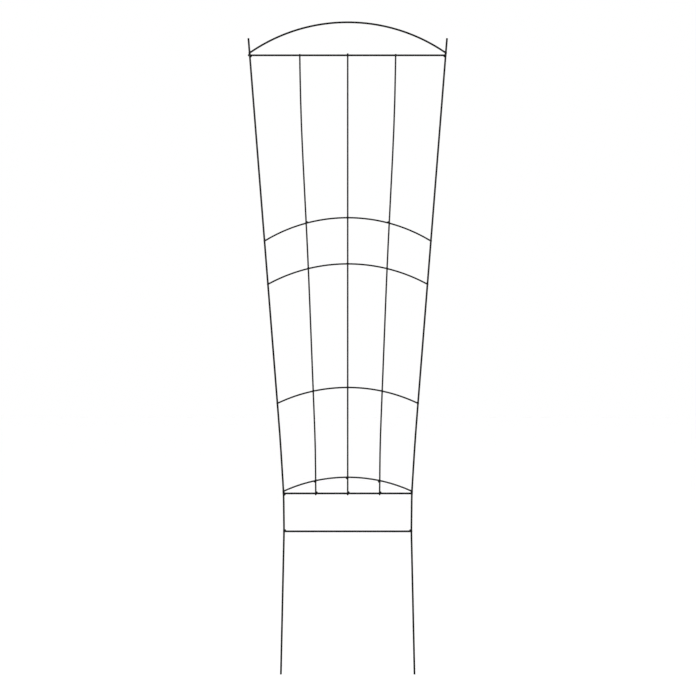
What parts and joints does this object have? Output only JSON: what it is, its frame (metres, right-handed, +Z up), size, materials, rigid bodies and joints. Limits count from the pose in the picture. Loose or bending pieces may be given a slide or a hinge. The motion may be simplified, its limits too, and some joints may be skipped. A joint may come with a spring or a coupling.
{
  "type": "garden trellis",
  "caption": "Flat, fan-shaped garden trellis of welded round wire with bowed cross wires and two legs that push into the soil, for climbing plants.",
  "frame": {"origin": "on the ground line, midway between the cut tips of the two legs, in the plane where the front and rear wires touch", "axes": "+Z up along the trellis, +X to the right seen from the front, +Y from the front layer (legs and uprights) to the rear layer (arch, bows and crossbars)"},
  "size_m": [0.5612, 0.01, 1.8286],
  "materials": {
    "wire_coat": "satin black powder coat on steel wire",
    "weld_coat": "satin black powder coat on weld metal"
  },
  "bodies": {
    "root": {"left_leg": "wire_coat", "right_leg": "wire_coat", "left_upright": "wire_coat", "centre_upright": "wire_coat", "right_upright": "wire_coat", "top_arch": "wire_coat", "top_crossbar": "wire_coat", "upper_bow": "wire_coat", "middle_bow": "wire_coat", "lower_bow": "wire_coat", "bottom_bow": "wire_coat", "lower_crossbar": "wire_coat", "foot_crossbar": "wire_coat", "weld_left_leg_top_corner": "weld_coat", "weld_left_leg_upper_bow": "weld_coat", "weld_left_leg_middle_bow": "weld_coat", "weld_left_leg_lower_bow": "weld_coat", "weld_left_leg_waist_corner": "weld_coat", "weld_left_leg_foot_crossbar": "weld_coat", "weld_right_leg_top_corner": "weld_coat", "weld_right_leg_upper_bow": "weld_coat", "weld_right_leg_middle_bow": "weld_coat", "weld_right_leg_lower_bow": "weld_coat", "weld_right_leg_waist_corner": "weld_coat", "weld_right_leg_foot_crossbar": "weld_coat", "weld_left_upright_top_crossbar": "weld_coat", "weld_left_upright_upper_bow": "weld_coat", "weld_left_upright_middle_bow": "weld_coat", "weld_left_upright_lower_bow": "weld_coat", "weld_left_upright_bottom_bow": "weld_coat", "weld_left_upright_lower_crossbar": "weld_coat", "weld_centre_upright_top_crossbar": "weld_coat", "weld_centre_upright_upper_bow": "weld_coat", "weld_centre_upright_middle_bow": "weld_coat", "weld_centre_upright_lower_bow": "weld_coat", "weld_centre_upright_bottom_bow": "weld_coat", "weld_centre_upright_lower_crossbar": "weld_coat", "weld_right_upright_top_crossbar": "weld_coat", "weld_right_upright_upper_bow": "weld_coat", "weld_right_upright_middle_bow": "weld_coat", "weld_right_upright_lower_bow": "weld_coat", "weld_right_upright_bottom_bow": "weld_coat", "weld_right_upright_lower_crossbar": "weld_coat"}
  },
  "joints": []
}
